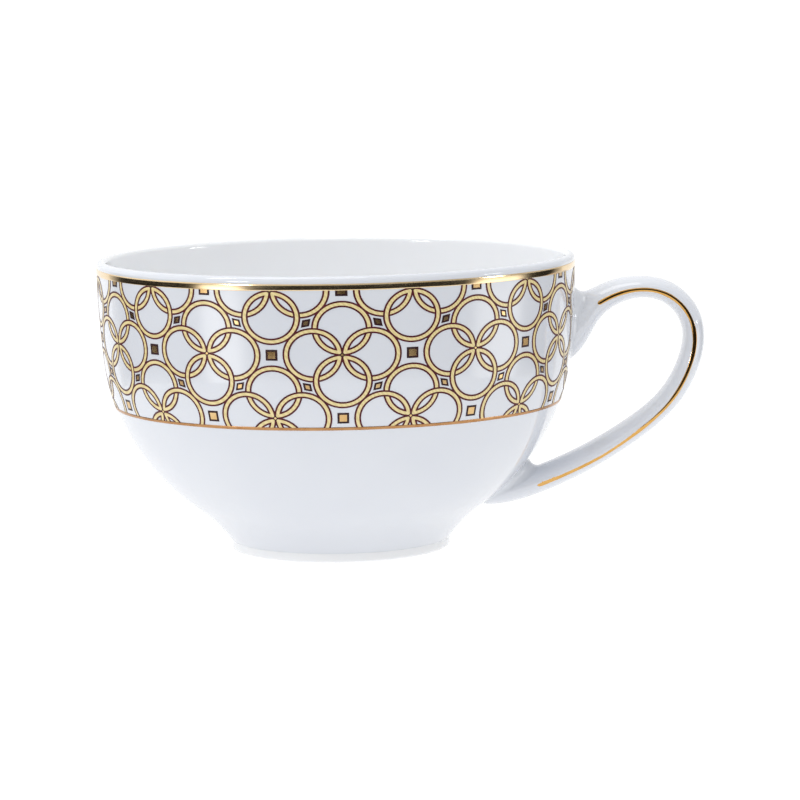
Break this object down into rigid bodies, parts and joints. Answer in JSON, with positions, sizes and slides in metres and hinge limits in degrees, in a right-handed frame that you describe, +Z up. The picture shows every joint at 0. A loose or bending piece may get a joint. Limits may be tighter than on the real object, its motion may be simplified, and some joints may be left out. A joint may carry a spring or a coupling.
{
  "type": "teacup",
  "caption": "Low round porcelain teacup on a short foot ring, with an ear-shaped strap handle, a printed band of interlaced rings and gilded lines.",
  "frame": {"origin": "centre of the foot ring's standing face, on the bowl's axis", "axes": "+Z up along the bowl's axis, +X from the axis towards the handle, Y across the handle"},
  "size_m": [0.121, 0.0952, 0.0583],
  "materials": {
    "glazed_china": "clear glossy glaze over white bone china",
    "glazed_foot": "glazed, with a bare ground standing edge",
    "bright_gold": "fired bright gold, mirror smooth",
    "print_enamel": "pale gold enamel rings with dark maroon outlines, fired over the glaze"
  },
  "bodies": {
    "root": {"bowl": "glazed_china", "foot_ring": "glazed_foot", "handle": "glazed_china", "rim_gilding": "bright_gold", "base_line": "bright_gold", "transfer_print": "print_enamel", "handle_gilding_front": "bright_gold", "handle_gilding_back": "bright_gold"}
  },
  "joints": []
}
